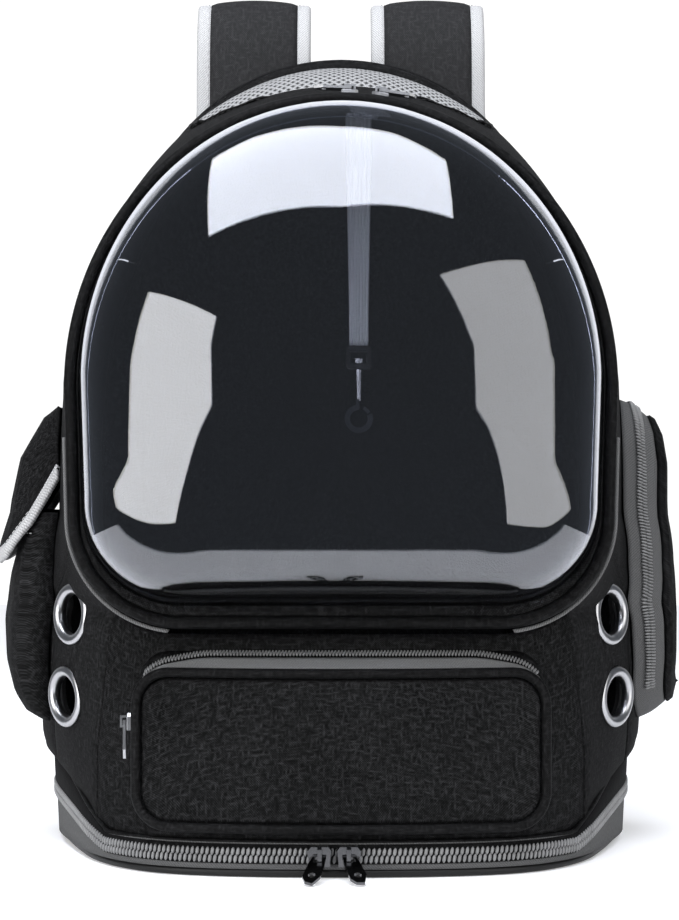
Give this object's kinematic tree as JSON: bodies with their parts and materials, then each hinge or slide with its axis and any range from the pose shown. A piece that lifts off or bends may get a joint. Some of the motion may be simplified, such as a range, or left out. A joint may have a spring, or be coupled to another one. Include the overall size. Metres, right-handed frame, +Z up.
{
  "type": "bubble pet carrier backpack",
  "caption": "Soft black pet carrier backpack with a clear blown dome in its front, round vents, zipped pockets, a spacer-mesh roof window and two padded shoulder straps",
  "frame": {"origin": "Floor plane under the tray, midway across and just in front of the tray's middle", "axes": "+X to the right seen from the front, +Y to the back panel, +Z up"},
  "size_m": [0.3816, 0.3732, 0.4995],
  "materials": {
    "black_fabric": "fine plain weave polyester, matt",
    "coated_base": "coated fabric over a stiff board",
    "grey_tape": "woven zip tape",
    "light_tape": "light grey twill tape",
    "zip_coil": "nylon zip coil",
    "spacer_mesh": "honeycomb spacer mesh",
    "piping": "corded piping, satin",
    "clear_dome": "clear blown plastic, high gloss",
    "grey_webbing": "ribbed webbing",
    "black_webbing": "ribbed webbing",
    "dark_metal": "black nickel, polished",
    "bright_metal": "nickel plated, polished",
    "black_plastic": "moulded acetal"
  },
  "bodies": {
    "carrier": {"back_panel": "black_fabric", "base_slider_left": "dark_metal", "base_slider_right": "dark_metal", "base_tray": "coated_base", "base_zip_tape": "grey_tape", "base_zip_teeth": "zip_coil", "bubble_dome": "clear_dome", "bubble_ring": "black_fabric", "corner_tape_left": "light_tape", "corner_tape_right": "light_tape", "door_zip_band": "black_fabric", "front_panel": "black_fabric", "front_pocket": "black_fabric", "front_pocket_piping": "piping", "front_pocket_slider": "bright_metal", "front_pocket_zip_tape": "light_tape", "front_pocket_zip_teeth": "zip_coil", "ladder_lock_left": "black_plastic", "ladder_lock_right": "black_plastic", "left_flap_binding": "light_tape", "left_pocket": "black_fabric", "left_pocket_flap": "black_fabric", "right_pocket_cover": "black_fabric", "right_pocket_gusset": "grey_tape", "right_pocket_teeth": "zip_coil", "ring_piping": "piping", "roof_gusset": "black_fabric", "roof_mesh": "spacer_mesh", "roof_slider_left": "bright_metal", "roof_slider_right": "bright_metal", "shoulder_strap_left": "black_fabric", "shoulder_strap_right": "black_fabric", "side_panel_left": "black_fabric", "side_panel_right": "black_fabric", "strap_binding_inner_left": "light_tape", "strap_binding_inner_right": "light_tape", "strap_binding_outer_left": "light_tape", "strap_binding_outer_right": "light_tape", "strap_webbing_left": "black_webbing", "strap_webbing_right": "black_webbing", "tether_clip": "dark_metal", "tether_webbing": "grey_webbing", "vent_high_left": "bright_metal", "vent_high_right": "bright_metal", "vent_low_left": "bright_metal", "vent_low_right": "bright_metal", "vent_panel_left": "black_fabric", "vent_panel_right": "black_fabric"},
    "base_pull_left": {"base_pull_left": "dark_metal"},
    "base_pull_right": {"base_pull_right": "dark_metal"},
    "front_pocket_pull": {"front_pocket_pull": "bright_metal"},
    "hook_gate": {"hook_gate": "dark_metal"},
    "roof_pull_left": {"roof_pull_left": "bright_metal"},
    "roof_pull_right": {"roof_pull_right": "bright_metal"},
    "snap_hook": {"snap_hook": "dark_metal"}
  },
  "joints": [
    {"name": "base_pull_left_turn", "type": "hinge", "parent": "carrier", "child": "base_pull_left", "pos_m": [-0.011, -0.14129, 0.01154], "axis": [0.9781, -0.1906, -0.083], "range_deg": [-60, 74]},
    {"name": "base_pull_right_turn", "type": "hinge", "parent": "carrier", "child": "base_pull_right", "pos_m": [0.004, -0.14129, 0.01154], "axis": [0.9703, 0.2218, 0.0966], "range_deg": [-60, 74]},
    {"name": "front_pocket_pull_turn", "type": "hinge", "parent": "carrier", "child": "front_pocket_pull", "pos_m": [-0.11265, -0.11519, 0.079], "axis": [0, 1, 0], "range_deg": [0, 150]},
    {"name": "roof_pull_left_turn", "type": "hinge", "parent": "carrier", "child": "roof_pull_left", "pos_m": [0.0048, -0.06881, 0.41429], "axis": [0, 0.9848, -0.1736], "range_deg": [0, 105]},
    {"name": "roof_pull_right_turn", "type": "hinge", "parent": "carrier", "child": "roof_pull_right", "pos_m": [0.0214, -0.06909, 0.41269], "axis": [0, -0.9848, 0.1736], "range_deg": [0, 105]},
    {"name": "hook_swivel", "type": "hinge", "parent": "carrier", "child": "snap_hook", "pos_m": [0.01, 0, 0.2692], "axis": [0, 0, 1], "continuous": true},
    {"name": "gate_hinge", "type": "hinge", "parent": "snap_hook", "child": "hook_gate", "pos_m": [0.0157, 0, 0.24113], "axis": [0, -1, 0], "range_deg": [0, 40], "stiffness_Nm_per_rad": 0.001}
  ]
}
